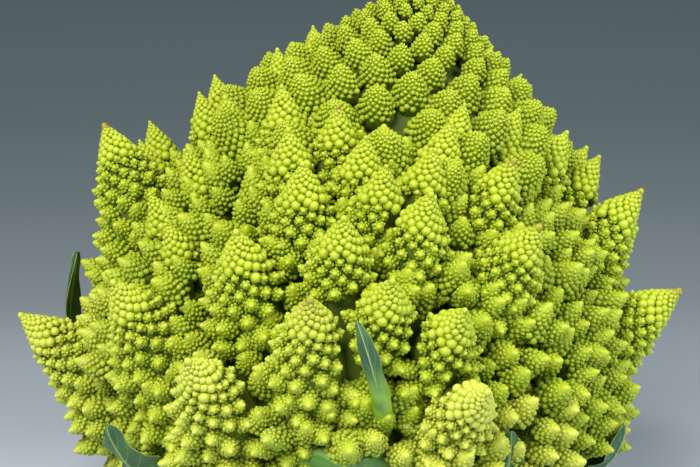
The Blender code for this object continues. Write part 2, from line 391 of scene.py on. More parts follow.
SMALL_CORE_STOPS = np.array([0.03, 0.15, 0.4, 0.9])
CORE_STOPS = np.array([0.03, 0.12, 0.3, 0.6, 1.0])
knob_patterns = {}


def knob_traits(kind, width):
    """The traits of a knob, each changing evenly between the three sizes: its buds' spacing rule, its
    outline, how much of its top is bare, its buds' relief, how low they go and how far its tip sinks."""
    return {key: float(np.interp(width, KNOB_SIZES, values)) for key, values in KNOB_KINDS[kind].items()}


def knob_core(width, down, radius, traits, sides):
    """The smooth body of a knob: the outline drawn in towards its foot by most of the buds' height. The
    tip is sunk by a share of that height, and a point far below closes the foot."""
    turns = 2 * np.pi * np.arange(sides) / sides
    stops = SMALL_CORE_STOPS if width < 3.2 * MM else CORE_STOPS
    sunk = traits["sunk"]
    tip_sunk = sunk * traits["relief"] * traits["first"]
    drawn_in = np.interp(stops, [0.0, 0.15, 0.6], [sunk, max(sunk, 0.5), 0.95]) * traits["relief"]
    inset = drawn_in * (traits["first"] + traits["growth"] * stops * down[-1])
    rings = np.maximum(np.interp(stops * down[-1], down, radius) - inset, 0.05 * width)
    points = [np.array([[0.0, 0.0, -tip_sunk]])]
    for depth, wide in zip(stops * down[-1] + tip_sunk, rings):
        points.append(np.stack([wide * np.cos(turns), wide * np.sin(turns), np.full(sides, -depth)], 1))
    points.append(np.array([[0.0, 0.0, -1.15 * down[-1]]]))
    return np.concatenate(points), tube_faces(len(stops), sides)


def knob_pattern(width, kind):
    """A knob of this width with its tip at the origin, pointing up: its core, and the place, direction,
    radius and height of each bud. The buds stand out to the outline. Those lower than the neighbouring
    knobs would show are left out."""
    key = (kind, max(round(width / KNOB_STEP), 1))
    if key in knob_patterns:
        return knob_patterns[key]
    width = key[1] * KNOB_STEP
    traits = knob_traits(kind, width)
    down, radius = outline(width, traits["stretch"], traits["curve"], traits["blunt"], 0.0)
    places = spiral(down, radius, traits["first"], traits["growth"])
    depth = places["down"] / down[-1]
    shown = (places["share"] > traits["bare"]) & (depth < traits["lowest"])
    turn = places["turn"][shown]
    spacing = places["spacing"][shown]
    tilt = places["slope"][shown]
    outward = np.stack([np.cos(turn), np.sin(turn), np.zeros(len(turn))], 1)
    up = np.array([[0.0, 0.0, 1.0]])
    along = unit(np.cos(tilt)[:, None] * outward + (np.sin(tilt)[:, None] + 0.3) * up)
    height = traits["relief"] * spacing
    origin = places["radius"][shown, None] * outward - places["down"][shown, None] * up
    chance = np.random.default_rng(key[1])
    origin = origin + 0.06 * spacing[:, None] * chance.normal(0, 1, origin.shape)
    core, core_faces = knob_core(width, down, radius, traits, 8 if width < 4 * MM else 10)
    knob_patterns[key] = {
        "core": core,
        "core_faces": core_faces,
        "core_share": 1 - np.clip(-core[:, 2] / down[-1], 0, 1),
        "origin": origin - height[:, None] * along,
        "along": along,
        "radius": 0.56 * spacing * chance.uniform(0.92, 1.08, len(spacing)),
        "height": height,
        "share": 1 - depth[shown],
        "width": width,
    }
    return knob_patterns[key]


def add_knobs(heap, tips, axes, knob_widths, branch_share, tone, chance, kind="grown"):
    """Puts a knob at each tip, pointing along its axis and turned by chance."""
    side, other = across(axes)
    buds = []
    for number in range(len(tips)):
        pattern = knob_pattern(knob_widths[number], kind)
        scale = knob_widths[number] / pattern["width"]
        turn = chance.uniform(0, 2 * np.pi)
        first = math.cos(turn) * side[number] + math.sin(turn) * other[number]
        turned = np.stack([first, np.cross(axes[number], first), axes[number]])
        core = tips[number] + scale * pattern["core"] @ turned
        share = pattern["core_share"]
        up_floret = np.full(len(core), branch_share[number])
        # Painted shade: the core's shares fall towards its foot, so the finish paints it darker there,
        # between the buds.
        growth = np.stack([0.1 + 0.8 * share ** 3, share, up_floret], 1)
        tones = np.repeat(tone[number:number + 1], len(core), axis=0)
        heap.add(core, pattern["core_faces"], growth, tones)
        count = len(pattern["share"])
        buds.append((
            tips[number] + scale * pattern["origin"] @ turned,
            pattern["along"] @ turned,
            scale * pattern["radius"],
            scale * pattern["height"],
            pattern["share"],
            np.full(count, branch_share[number]),
            np.repeat(tone[number:number + 1], count, axis=0),
        ))
    if not buds:
        return
    columns = [np.concatenate(column) for column in zip(*buds)]
    wide = columns[2] > ROUND_BUD_FROM
    for form, chosen in ((ROUND_BUD, wide), (BUD, ~wide)):
        if chosen.any():
            stamp(heap, form, *(column[chosen] for column in columns))


print("a knob 7 mm wide has", len(knob_pattern(7 * MM, "grown")["share"]), "buds")

# %% [markdown]
# ## A floret
# The floret's members are beads near its tip, knobs lower down and large pointed knobs at its foot.
# They stand on a smooth core, which carries on below as a branch to the stem. Their spacing grows with
# the distance from the tip, first slowly and then faster, until it reaches the width of a large knob.
# A member that would lie inside the next floret is left out, because it could never be seen.

# %% Name the rules of a floret and leave out the hidden members
HEAD_REACH = 92 * MM
HEAD_SHOULDER = 42 * MM
HEAD_FULLNESS = 1.4


def head_reach(drop):
    """How far the florets' tips stand from the head's axis at a drop below its tip:
    reach × (1 - exp(-(drop / shoulder)^fullness))."""
    return HEAD_REACH * (1 - np.exp(-((np.maximum(drop, 0) / HEAD_SHOULDER) ** HEAD_FULLNESS)))


FLORET_SHAPE = (1.0, 1.12, 0.9, 0.6, 0.35)
MEMBER_FIRST = 0.9 * MM
NOSE = 0.3 * MM
NOSE_GROWTH = 0.018
MEMBER_GROWTH = 0.11
MEMBER_SWELL = 4.2
MEMBER_MOST = 7.0 * MM

floret_outline = outline(30 * MM, *FLORET_SHAPE)
sample = spiral(*floret_outline, MEMBER_FIRST, MEMBER_GROWTH, MEMBER_SWELL, MEMBER_MOST)
print("a floret 30 mm wide has", len(sample["turn"]), "members")


def inside_others(points, spacing, skip):
    """True where a point lies in another floret's cone by more than part of the spacing: where its
    distance from that floret's axis is less than the cone's radius at that depth, less the part."""
    hidden = np.zeros(len(points), bool)
    for number, plan in enumerate(plans):
        if number == skip:
            continue
        down, radius = outline(plan["width"], *FLORET_SHAPE)
        away = plan["tip"] - points
        depth = away @ plan["axis"]
        distance = np.linalg.norm(away - depth[:, None] * plan["axis"], axis=1)
        limit = np.interp(depth, down, radius, left=-1, right=0.8 * radius[-1])
        limit = np.where(depth > 1.3 * down[-1], -1, limit)
        hidden |= distance < limit - 0.45 * spacing
    return hidden


# %% [markdown]
# ## What the eye can reach
# Most of a head's surface lies deep between the florets. Making it all would need several times as
# many faces and would change nothing that shows. So each member sends out a few rays, and they are
# stopped by a coarse copy of all the florets. A member whose rays are nearly all stopped is left
# out, and one that lies deep is made simpler.

# %% See how open each member lies
RAYS = 14
RAY_LENGTH = 90 * MM
SHUT = 0.08
FLOOR_GAP = 1.5 * MM
SCREEN_ROWS = 8


def turned_surface(plan, sides=16):
    """A floret's outline turned about its axis in a few coarse sides: points and four-sided faces."""
    down, radius = outline(plan["width"], *FLORET_SHAPE)
    chosen = np.linspace(0, len(down) - 1, SCREEN_ROWS + 1).astype(int)
    turn = 2 * np.pi * np.arange(sides) / sides
    side, other = (vector[0] for vector in across(plan["axis"][None]))
    outward = np.cos(turn)[:, None] * side + np.sin(turn)[:, None] * other
    points = plan["tip"] - down[chosen, None, None] * plan["axis"] + radius[chosen, None, None] * outward
    here = np.arange(sides)
    after = (here + 1) % sides
    row = (np.arange(SCREEN_ROWS) * sides)[:, None]
    faces = np.stack([row + here, row + after, row + sides + after, row + sides + here], 2)
    return points.reshape(-1, 3), faces.reshape(-1, 4)


def make_screen():
    """All the florets' coarse surfaces as one target for rays."""
    points = []
    faces = []
    count = 0
    for plan in plans:
        some_points, some_faces = turned_surface(plan)
        points.append(some_points)
        faces.append(some_faces + count)
        count += len(some_points)
    return BVHTree.FromPolygons(np.concatenate(points).tolist(), np.concatenate(faces).tolist())


screen = make_screen()


def openness(tips, axes, spacing):
    """For each member, the share of rays from just above its tip that leave the head. The rays spread
    over the half sphere about its axis along a golden spiral."""
    number = np.arange(RAYS) + 0.5
    rise = 1 - 0.85 * number / RAYS
    flat = np.sqrt(1 - rise ** 2)
    side, other = across(axes)
    found = np.zeros(len(tips))
    for turn, high, low in zip(GOLDEN_ANGLE * number, rise, flat):
        rays = low * (math.cos(turn) * side + math.sin(turn) * other) + high * axes
        starts = tips + 0.35 * spacing[:, None] * axes
        pairs = zip(starts.tolist(), rays.tolist())
        free = [screen.ray_cast(start, ray, RAY_LENGTH)[0] is None for start, ray in pairs]
        found += np.array(free, float) / RAYS
    return found


# %% Plan the members
def spiral_members(plan, growth, chance):
    """The members' tips, axes, spacing and share up the floret, in the head's frame. A member stands
    square to the outline but for 4 degrees near the tip and 10 at the foot, by which it is raised, and
    the low ones stick out unevenly."""
    down, radius = outline(plan["width"], *FLORET_SHAPE)
    places = spiral(down, radius, MEMBER_FIRST, growth, MEMBER_SWELL, MEMBER_MOST)
    length = FLORET_SHAPE[0] * plan["width"]
    depth = places["down"] / length
    square = np.pi / 2 - places["slope"]
    lean_out = np.clip(square - np.radians(4 + 6 * np.minimum(depth, 1.0)), 0.1, 1.5)
    turn = places["turn"] + chance.uniform(0, 2 * np.pi) + chance.normal(0, 0.03, len(depth))
    side, other = (vector[0] for vector in across(plan["axis"][None]))
    outward = np.cos(turn)[:, None] * side + np.sin(turn)[:, None] * other
    jitter = chance.normal(0, 0.05, (len(depth), 3))
    tips = plan["tip"] + (places["radius"] * chance.normal(1, 0.02, len(depth)))[:, None] * outward
    tips = tips - places["down"][:, None] * plan["axis"]
    axes = unit(np.sin(lean_out)[:, None] * outward + np.cos(lean_out)[:, None] * plan["axis"] + jitter)
    stray = np.minimum(depth, 1.0) ** 2 * chance.uniform(-0.25, 0.6, len(depth)) * places["spacing"]
    return tips + stray[:, None] * axes, axes, places["spacing"], 1 - places["share"]


# %% Build a floret's core and members
# A scar has its reach from the tip in millimetres, and its strength. Paleness goes from 0 to 1.
SCARS = {
    "floret_09": (2.6, 1.0), "floret_06": (7.0, 0.55), "floret_04": (4.0, 0.8), "floret_15": (3.5, 0.8),
    "floret_26": (2.5, 0.7), "floret_16": (3.5, 0.5), "floret_14": (3.0, 0.5), "floret_13": (2.5, 0.35),
}
PALE = {"floret_01": 0.6, "floret_02": 0.7, "floret_03": 1.0, "floret_05": 0.2, "floret_06": 0.3}
BEAD_LIMIT = 1.9 * MM
BERRY_LIMIT = 3.1 * MM
YOUNG_BERRY_LIMIT = 2.3 * MM
DEEP = 0.16
CORE_ROWS = 16
FOOT_ROWS = 4
BRANCH_RADIUS = 4 * MM


def loft(heap, centres, axes, radii, sides, knob, branch, tone):
    """A closed tube of rings, each given by its centre, axis and radius, with a point at both ends."""
    turn = (2 * np.pi * np.arange(sides) / sides)[None, :, None]
    side, other = across(axes)
    outward = np.cos(turn) * side[:, None] + np.sin(turn) * other[:, None]
    rings = centres[:, None] + radii[:, None, None] * outward
    points = np.concatenate([centres[:1], rings.reshape(-1, 3), centres[-1:]])
    up_knob = np.concatenate([knob[:1], np.repeat(knob, sides), knob[-1:]])
    up_branch = np.concatenate([branch[:1], np.repeat(branch, sides), branch[-1:]])
    growth = np.stack([up_knob, up_knob, up_branch], 1)
    tones = np.repeat(tone[None], len(points), axis=0)
    heap.add(points, tube_faces(len(centres), sides), growth, tones)


def add_core(heap, plan, growth, tone):
    """The floret's smooth core and branch: the outline drawn in by 0.8 of the members' spacing, then
    rings that bend from the floret's axis to the branch and shrink to the root."""
    down, radius = outline(plan["width"], *FLORET_SHAPE)
    stops = np.linspace(0.02, 1, CORE_ROWS) * down[-1]
    spacing = np.minimum(MEMBER_FIRST + growth * stops + MEMBER_SWELL * stops ** 2, MEMBER_MOST)
    inner = np.interp(stops, down, radius) - 0.8 * spacing
    inner = np.maximum(inner, 0.1 * MM + 0.35 * np.interp(stops, down, radius))
    centres = plan["tip"] - (stops + 0.5 * MEMBER_FIRST)[:, None] * plan["axis"]
    axes = np.repeat(plan["axis"][None], len(stops), axis=0)
    foot = centres[-1]
    share = np.linspace(0.25, 1, FOOT_ROWS)[:, None]
    path = foot + share * (plan["root"] - foot)
    bend = unit((1 - share) * plan["axis"] + share * unit(foot - plan["root"]))
    foot_radii = inner[-1] + share[:, 0] ** 0.6 * (BRANCH_RADIUS - inner[-1])
    centres = np.concatenate([centres, path])
    axes = np.concatenate([axes, bend])
    radii = np.concatenate([inner, foot_radii])
    # Painted shade: the core's low shares make the finish paint it dark green to near black where it
    # shows between the members; the branch below is a little lighter.
    up_knob = np.concatenate([np.full(CORE_ROWS, 0.0), np.full(FOOT_ROWS, 0.2)])
    up_branch = np.concatenate([np.linspace(1, 0, CORE_ROWS), np.zeros(FOOT_ROWS)])
    loft(heap, centres, axes, radii, 16, up_knob, up_branch, tone)


def add_members(heap, tips, axes, wide, share, tone, chance, kind, open_share):
    """Puts a member at each tip by its width: a bead, a berry, or a knob with buds of its own. Deep
    between the florets a berry does for a knob."""
    bead = wide < BEAD_LIMIT
    berry_limit = BERRY_LIMIT if kind == "grown" else YOUNG_BERRY_LIMIT
    berry = ~bead & ((wide < berry_limit) | (open_share < DEEP))
    for form, chosen in ((BEAD, bead), (BERRY, berry)):
        height = 0.5 * wide[chosen]
        origin = tips[chosen] - height[:, None] * axes[chosen]
        up_knob = np.full(chosen.sum(), 0.75)
        stamp(heap, form, origin, axes[chosen], 0.52 * wide[chosen], height, up_knob, share[chosen],
              tone[chosen])
    knob = ~bead & ~berry
    add_knobs(heap, tips[knob], axes[knob], wide[knob], share[knob], tone[knob], chance, kind)


# %% [markdown]
# ## Between the florets
# Florets are round, so gaps stay open between them, and on the plant smaller branches fill those.
# Here large knobs do it. They stand on an even spiral a little below the head's outline, and only
# those that lie in a gap are kept. Each one becomes part of the floret nearest to it.

# %% Fill the gaps between the florets
GAP_FROM = 32 * MM
GAP_TO = 108 * MM
GAP_DEPTH = 15 * MM
GAP_KNOB = 8.0 * MM


def gap_knobs():
    """Knobs that fill the gaps between the florets: an even spiral on the head's outline drawn in by a
    depth, less what lies inside a floret or can't be seen. Each belongs to the floret it is nearest."""
    drop = np.linspace(GAP_FROM, GAP_TO, 200)
    places = spiral(drop, head_reach(drop) - GAP_DEPTH, GAP_KNOB, 0.0)
    chance = np.random.default_rng(11)
    turn = places["turn"]
    outward = np.stack([np.cos(turn), np.sin(turn), np.zeros(len(turn))], 1)
    up = np.array([[0.0, 0.0, 1.0]])
    tips = places["radius"][:, None] * outward + (HEAD_TIP - places["down"][:, None]) * up
    tips = tips + chance.normal(0, 1.2 * MM, tips.shape)
    tilt = places["slope"][:, None]
    raised = np.sin(tilt) + 0.2
    axes = unit(np.cos(tilt) * outward + raised * up + chance.normal(0, 0.15, tips.shape))
    hearts = np.array([plan["tip"] - 0.7 * plan["width"] * plan["axis"] for plan in plans])
    owner = np.linalg.norm(tips[:, None] - hearts[None], axis=2).argmin(axis=1)
    open_share = openness(tips, axes, places["spacing"])
    off_floor = out_of_head(tips)[:, 2] > GAP_KNOB + FLOOR_GAP
    kept = ~inside_others(tips, 0.3 * places["spacing"], -1) & (open_share > SHUT) & off_floor
    print(kept.sum(), "knobs fill the gaps between the florets")
    return tips[kept], axes[kept], owner[kept]


gap_tips, gap_axes, gap_owner = gap_knobs()


def add_gap_knobs(heap, number, tone, chance):
    """Adds the gap knobs that belong to one floret."""
    own = gap_owner == number
    count = int(own.sum())
    wide = GAP_KNOB * chance.uniform(0.9, 1.4, count)
    tones = np.repeat(tone[None], count, axis=0)
    tones[:, 0] = chance.uniform(0, 1, count)
    # Painted shade: their share up the floret is set low, at 0.2, so the finish paints them darker deep
    # between the florets.
    add_knobs(heap, gap_tips[own], gap_axes[own], wide, np.full(count, 0.2), tones, chance)


# %% [markdown]
# ## Putting a floret together
# A floret is its core, its nose and its members. No two are quite alike: chance moves every member a
# little and changes its width, and a few florets are paler or have a tip that was rubbed brown. Each
# floret has its own seed, so the head comes out the same every time.

# %% Add one floret
def add_floret(heap, plan, number, chance):
    """Adds one floret: its core, the nose at its tip, which is a berry, and its members. Members that
    lie in another floret, out of sight or too near the floor are left out."""
    growth = MEMBER_GROWTH * chance.uniform(0.94, 1.08)
    nose = NOSE + NOSE_GROWTH * plan["width"]
    tips, axes, spacing, share = spiral_members(plan, growth, chance)
    past_nose = np.linalg.norm(tips - plan["tip"], axis=1) > nose
    kept = ~inside_others(tips, spacing, number) & past_nose
    tips, axes, spacing, share = (values[kept] for values in (tips, axes, spacing, share))
    open_share = openness(tips, axes, spacing)
    off_floor = out_of_head(tips)[:, 2] > 0.9 * spacing + FLOOR_GAP
    kept = ((open_share > SHUT) | (number == len(plans))) & off_floor
    columns = (tips, axes, spacing, share, open_share)
    tips, axes, spacing, share, open_share = (values[kept] for values in columns)
    overlap = np.interp(share, [0.0, 0.3, 0.7, 1.0], [1.34, 1.26, 1.12, 1.18])
    wide = overlap * spacing * chance.normal(1, 0.06, len(spacing))
    pale = PALE.get(plan["name"], 0.0)
    scar = SCARS.get(plan["name"])
    tone = np.zeros((len(tips), 3))
    tone[:, 0] = chance.uniform(0, 1, len(tips))
    tone[:, 1] = pale
    plain = np.array([0.5, pale, 0.0])
    at_nose = plain.copy()
    if scar and number < len(plans):
        reach, strength = scar
        far = np.linalg.norm(tips - plan["tip"], axis=1) / (reach * MM)
        tone[:, 2] = strength * np.clip(1.3 - far, 0, 1) * chance.uniform(0.4, 1.0, len(tips))
        at_nose[2] = strength
    add_core(heap, plan, growth, plain)
    nose_centre = plan["tip"] - 1.5 * nose * plan["axis"]
    nose_size = np.array([1.1 * nose]), np.array([1.5 * nose])
    stamp(heap, BERRY, nose_centre[None], plan["axis"][None], *nose_size, np.array([0.8]),
          np.array([1.0]), at_nose[None])
    add_members(heap, tips, axes, wide, share, tone, chance, "grown", open_share)


def side_plan(owner, turn, drop, out, width, rise):
    """The plan of a small side floret: its owner, its turn from -Y in degrees, its tip's drop below the
    head's tip and how far it stands out of the head's outline, its width and its rise."""
    turn = math.radians(turn)
    rise = math.radians(rise)
    outward = np.array([math.sin(turn), -math.cos(turn), 0.0])
    up = np.array([0.0, 0.0, 1.0])
    tip = (head_reach(drop * MM) + out * MM) * outward + (HEAD_TIP - drop * MM) * up
    axis = math.cos(rise) * outward + math.sin(rise) * up
    root = tip - 1.6 * width * MM * axis
    return {"name": owner, "tip": tip, "root": root, "axis": axis, "width": width * MM}


SIDE_FLORETS = [
    side_plan("floret_09", -91, 54, -4, 12, 60), side_plan("floret_09", -99, 50, -1, 12, 60),
    side_plan("floret_19", -91, 39, -2, 13, 64), side_plan("floret_19", -101, 35, 1, 14, 66),
    side_plan("floret_25", -90, 17, 4, 10, 72), side_plan("floret_10", -63, 62, -9, 11, 52),
    side_plan("floret_10", -53, 67, -11, 12, 48), side_plan("floret_19", -68, 51, -10, 15, 56),
    side_plan("floret_29", 90, 20, 1, 9, 66), side_plan("floret_29", 84, 14, 2, 8, 70),
]


def build_floret(number, finish):
    """One floret as a single mesh, with the side florets and the gap knobs that go with it."""
    plan = plans[number]
    chance = np.random.default_rng(100 + number)
    heap = Heap()
    add_floret(heap, plan, number, chance)
    for side in SIDE_FLORETS:
        if side["name"] == plan["name"]:
            add_floret(heap, side, len(plans), chance)
    add_gap_knobs(heap, number, np.array([0.5, PALE.get(plan["name"], 0.0), 0.0]), chance)
    heap.points = [out_of_head(points) for points in heap.points]
    return place_piece(heap.piece(plan["name"] + "_detail", finish), plan["name"])


# %% [markdown]
# ## The crown
# Round the tip of the stem the florets are still too small to part. They follow the same rule one
# level up: the head's own outline takes the place of a floret's, and each member is a knob.

# %% Build the crown
CROWN_EDGE = 27 * MM
CROWN_DROP = 42 * MM
CROWN_LIFT = 5 * MM
CROWN_FIRST = 0.9 * MM
CROWN_GROWTH = 0.25
CROWN_ROWS = 12


def build_crown(finish):
    """The crown's outline is the head's as far as its edge. Below that it lies half of the extra drop
    further in, where its members fill the gaps between the smallest florets. They point along the
    surface's normal, a little raised. Those at a floret's own tip are left out."""
    drop = np.linspace(0, CROWN_DROP, 200)
    reach = head_reach(drop) - 0.5 * np.maximum(drop - CROWN_EDGE, 0)
    places = spiral(drop, reach, CROWN_FIRST, CROWN_GROWTH)
    chance = np.random.default_rng(7)
    turn = places["turn"] + chance.normal(0, 0.02, len(places["turn"]))
    outward = np.stack([np.cos(turn), np.sin(turn), np.zeros(len(turn))], 1)
    up = np.array([[0.0, 0.0, 1.0]])
    lift = CROWN_LIFT * np.clip(1 - places["down"] / CROWN_EDGE, 0, 1)
    tips = places["radius"][:, None] * outward + (HEAD_TIP - places["down"] + lift)[:, None] * up
    tilt = places["slope"]
    raised = np.sin(tilt)[:, None] + 0.08
    axes = unit(np.cos(tilt)[:, None] * outward + raised * up + chance.normal(0, 0.08, (len(turn), 3)))
    spacing = places["spacing"]
    floret_tips = np.array([plan["tip"] for plan in plans])
    floret_widths = np.array([plan["width"] for plan in plans])
    apart = np.linalg.norm(tips[:, None] - floret_tips[None], axis=2)
    crowded = (apart < 0.08 * (spacing[:, None] + floret_widths[None])).any(axis=1)
    kept = ~inside_others(tips, 0.5 * spacing, -1) & ~crowded
    tips, axes, spacing, share = (values[kept] for values in (tips, axes, spacing, 1 - places["share"]))
    open_share = openness(tips, axes, spacing)
    wide = 1.15 * spacing * chance.normal(1, 0.1, len(spacing))
    tone = np.zeros((len(tips), 3))
    tone[:, 0] = chance.uniform(0, 1, len(tips))
    heap = Heap()
    print(len(tips), "members in the crown")
    add_members(heap, tips, axes, wide, share, tone, chance, "young", open_share)
    stops = np.linspace(0.06, 1, CROWN_ROWS) * CROWN_DROP
    inner = np.interp(stops, drop, reach) - 3.5 * MM - 0.3 * stops
    neck_depths = np.array([54.0, 60.0]) * MM
    heights = HEAD_TIP - np.concatenate([stops + 2 * MM, neck_depths])
    radii = np.concatenate([np.maximum(inner, 0.4 * MM), [16 * MM, 8 * MM]])
    rows = len(heights)
    # Painted shade: the crown's inner body carries zero shares, so the finish paints it near black under
    # its members.
    plain = np.zeros(rows)
    centres = heights[:, None] * up
    loft(heap, centres, np.repeat(up, rows, axis=0), radii, 32, plain, plain, np.array([0.5, 0.0, 0.0]))
    heap.points = [out_of_head(points) for points in heap.points]
    return place_piece(heap.piece("crown_detail", finish), "crown")


# %% [markdown]
# ## Writing finishes as sums
# A finish is a small graph of nodes. Writing it node by node hides the idea, so one class wraps a
# node's output and lets Python's own + - × ÷ add the Math nodes. Colours go through Mix nodes, since
# a Math node would turn them grey. Every other node is added by one method.

# %% Wrap a socket
class Wire:
    """An output socket of a finish. Arithmetic on it adds Math nodes to the same finish."""

    def __init__(self, recipe, socket):
        self.recipe = recipe
        self.socket = socket

    def sum_of(self, operation, first, second):
        return self.recipe.node("ShaderNodeMath", {"operation": operation}, {0: first, 1: second})

    def __add__(self, other):
        return self.sum_of("ADD", self, other)

    def __radd__(self, other):
        return self.sum_of("ADD", other, self)

    def __sub__(self, other):
        return self.sum_of("SUBTRACT", self, other)

    def __rsub__(self, other):
        return self.sum_of("SUBTRACT", other, self)

    def __mul__(self, other):
        return self.sum_of("MULTIPLY", self, other)

    def __rmul__(self, other):
        return self.sum_of("MULTIPLY", other, self)

    def __truediv__(self, other):
        return self.sum_of("DIVIDE", self, other)

    def size(self):
        """How large a value is, whatever its sign."""
        return self.recipe.node("ShaderNodeMath", {"operation": "ABSOLUTE"}, {0: self})

    def fraction(self):
        """What is left of a value above the whole number below it."""
        return self.recipe.node("ShaderNodeMath", {"operation": "FRACT"}, {0: self})

    def clamped(self):
        return self.recipe.node("ShaderNodeClamp", {}, {"Value": self})


class Recipe:
    """One finish being written: a material, its shader and the way to add a node."""

    def __init__(self, name, **constants):
        self.material = bpy.data.materials.new(name)
        self.material.use_nodes = True
        self.tree = self.material.node_tree
        self.shader = self.tree.nodes["Principled BSDF"]
        for key, value in constants.items():
            self.shader.inputs[key.replace("_", " ")].default_value = value

    def node(self, kind, settings, values, out=0):
        """Adds a node: its settings first, then the values or links of its sockets."""
        made = self.tree.nodes.new(kind)
        for key, value in settings.items():
            if key == "stops":
                self.set_stops(made.color_ramp, value)
            else:
                setattr(made, key, value)
        for key, value in values.items():
            self.fill(made.inputs[key], value)
        return Wire(self, made.outputs[out])

    def fill(self, socket, value):
        if isinstance(value, Wire):
            self.tree.links.new(value.socket, socket)
        else:
            socket.default_value = value

    def set_stops(self, ramp, stops):
        """Sets a ramp's stops, each a place from 0 to 1 and a colour."""
        while len(ramp.elements) > 1:
            ramp.elements.remove(ramp.elements[-1])
        ramp.elements[0].position = stops[0][0]
        ramp.elements[0].color = (*stops[0][1], 1.0)
        for place, colour in stops[1:]:
            ramp.elements.new(place).color = (*colour, 1.0)

    def ramp(self, share, stops):
        return self.node("ShaderNodeValToRGB", {"stops": stops}, {"Fac": share})

    def place(self):
        """A point's place in its object."""
        return self.node("ShaderNodeTexCoord", {}, {}, out=3)

    def noise(self, scale, detail=3.0, roughness=0.55):
        """A cloudy pattern on the piece's own coordinates."""
        values = {"Vector": self.place(), "Scale": scale, "Detail": detail, "Roughness": roughness}
        return self.node("ShaderNodeTexNoise", {}, values)

    def mixed(self, first, second, share):
        """One colour over another by a share."""
        return self.node("ShaderNodeMix", {"data_type": "RGBA"}, {0: share, 6: first, 7: second}, out=2)

    def triple(self, name):
        """The three numbers that each point carries under a name."""
        read = self.node("ShaderNodeAttribute", {"attribute_name": name}, {}, out=1)
        split = self.node("ShaderNodeSeparateXYZ", {}, {"Vector": read})
        return [Wire(self, split.socket.node.outputs[number]) for number in range(3)]

    def set(self, **wires):
        for key, wire in wires.items():
            self.fill(self.shader.inputs[key.replace("_", " ")], wire)

    def bump(self, height, strength, distance):
        values = {"Height": height, "Strength": strength, "Distance": distance}
        self.set(Normal=self.node("ShaderNodeBump", {}, values))


# %% [markdown]
# ## The buds' finish
# The buds are a waxy yellow-green, a little paler at their tops. Down the sides of every bud, knob
# and floret the colour is painted darker, to near black in the valleys between them, as painted shade
# where the light can't reach. The three heights that each point carries drive one ramp. A cloudy pattern
# shifts the colour a little from place to place, and a very fine one gives the skin its cells.

# %% Write the buds' finish
def bud_finish():
    recipe = Recipe("bud_skin", Subsurface_Weight=0.06, Subsurface_Scale=0.0012)
    recipe.shader.inputs["Subsurface Radius"].default_value = (0.8, 1.0, 0.25)
    bud, knob, branch = recipe.triple("growth")
    chance, pale, scar = recipe.triple("tone")
    patchy = recipe.noise(60.0)
    fine = recipe.noise(1400.0, detail=2.0)
    # Painted shade: the share is low near the foot of each bud, knob and floret, and the ramp turns that
    # into dark green to near black in the crevices between them.
    light = (0.34 * bud + 0.42 * knob + 0.12 * branch + 0.14 * patchy + 0.06 * chance).clamped()
    skin = recipe.ramp(light, [
        (0.0, (0.020, 0.04, 0.001)),
        (0.24, (0.11, 0.175, 0.002)),
        (0.55, (0.31, 0.40, 0.005)),
        (0.8, (0.45, 0.535, 0.020)),
        (1.0, (0.60, 0.67, 0.075)),
    ])
    # The paler florets' ramp carries the same painted shade at its low end.
    creamy = recipe.ramp(light, [
        (0.0, (0.09, 0.13, 0.003)),
        (0.3, (0.30, 0.36, 0.012)),
        (0.65, (0.55, 0.60, 0.055)),
        (1.0, (0.70, 0.74, 0.15)),
    ])
    skin = recipe.mixed(skin, creamy, (pale * 0.8).clamped())
    flecks = ((recipe.noise(700.0, detail=1.0) - 0.52) * 9.0).clamped()
    worn = (scar * (0.55 + 0.8 * flecks)).clamped()
    skin = recipe.mixed(skin, (0.27, 0.135, 0.025, 1.0), worn)
    recipe.set(Base_Color=skin, Roughness=0.72 - 0.14 * bud - 0.2 * knob + 0.1 * fine)
    recipe.bump(fine, 0.25, 0.0002)
    return recipe.material


bud_skin = bud_finish()

# %% Grow the head
grown = [build_floret(number, bud_skin) for number in range(len(plans))]
grown.append(build_crown(bud_skin))
faces_made = [len(piece.data.polygons) for piece in grown]
print([round(count / 1000) for count in faces_made])
print("the head has", sum(faces_made), "faces, and its largest piece", max(faces_made))

# %% [markdown]
# ## Leaves
# A few small leaves start low on the stalk, bend out under the florets and curl up between them. A
# leaf starts as a thick, smooth stalk and flattens into a thin blade with a rib behind it and a wavy
# edge. So it is one closed tube: at each station along its path, a ring that is round at the foot
# and very flat at the blade. Each point carries where it lies across and along the leaf, which the
# finish turns into veins. The leaf base at the front is such a tube that never flattens.

# %% Build a leaf
# Each leaf has a start, a bend and an end, as turn, reach and height, then its widths at the root,
# waist and blade, how far it twists, how wavy it is, and where along it the blade begins.
LEAVES = {
    "leaf_front": ((-2, 26, 28), (11, 81, 30), (1, 79, 69), (7.5, 4.2, 4.6), 0, 0.3, 0.72),
    "leaf_stub_front": ((-1, 26, 9), (-1, 50, 12), (-1, 70, 34.5), (26, 27, 29), 0, 0.0, 1.0),
    "leaf_low_left": ((-52, 26, 12), (-50, 66, 9), (-47, 80, 38), (9, 7, 14), 20, 0.6, 0.55),
    "leaf_left": ((-103, 26, 13), (-101, 88, 8), (-97, 72.5, 69), (14, 10, 12), 0, 0.5, 0.4),
    "leaf_low_right": ((38, 26, 12), (36, 66, 10), (32, 72, 38), (9, 7, 12), -15, 0.5, 0.5),
    "leaf_right": ((68, 26, 12), (68, 72, 9), (66, 75, 32), (9, 7, 13), 10, 0.5, 0.5),
    "leaf_back": ((180, 26, 14), (180, 100, 8), (178, 98, 62), (13, 13, 33), 0, 0.4, 0.4),
}
LEAF_CUP = 0.16
LEAF_ROWS = 70
LEAF_SIDES = 40
BLADE_HALF = 0.3 * MM
STALK_HALF = 1.0 * MM
BASE_HALF = 3.0 * MM
RIB_DEPTH = 0.8 * MM
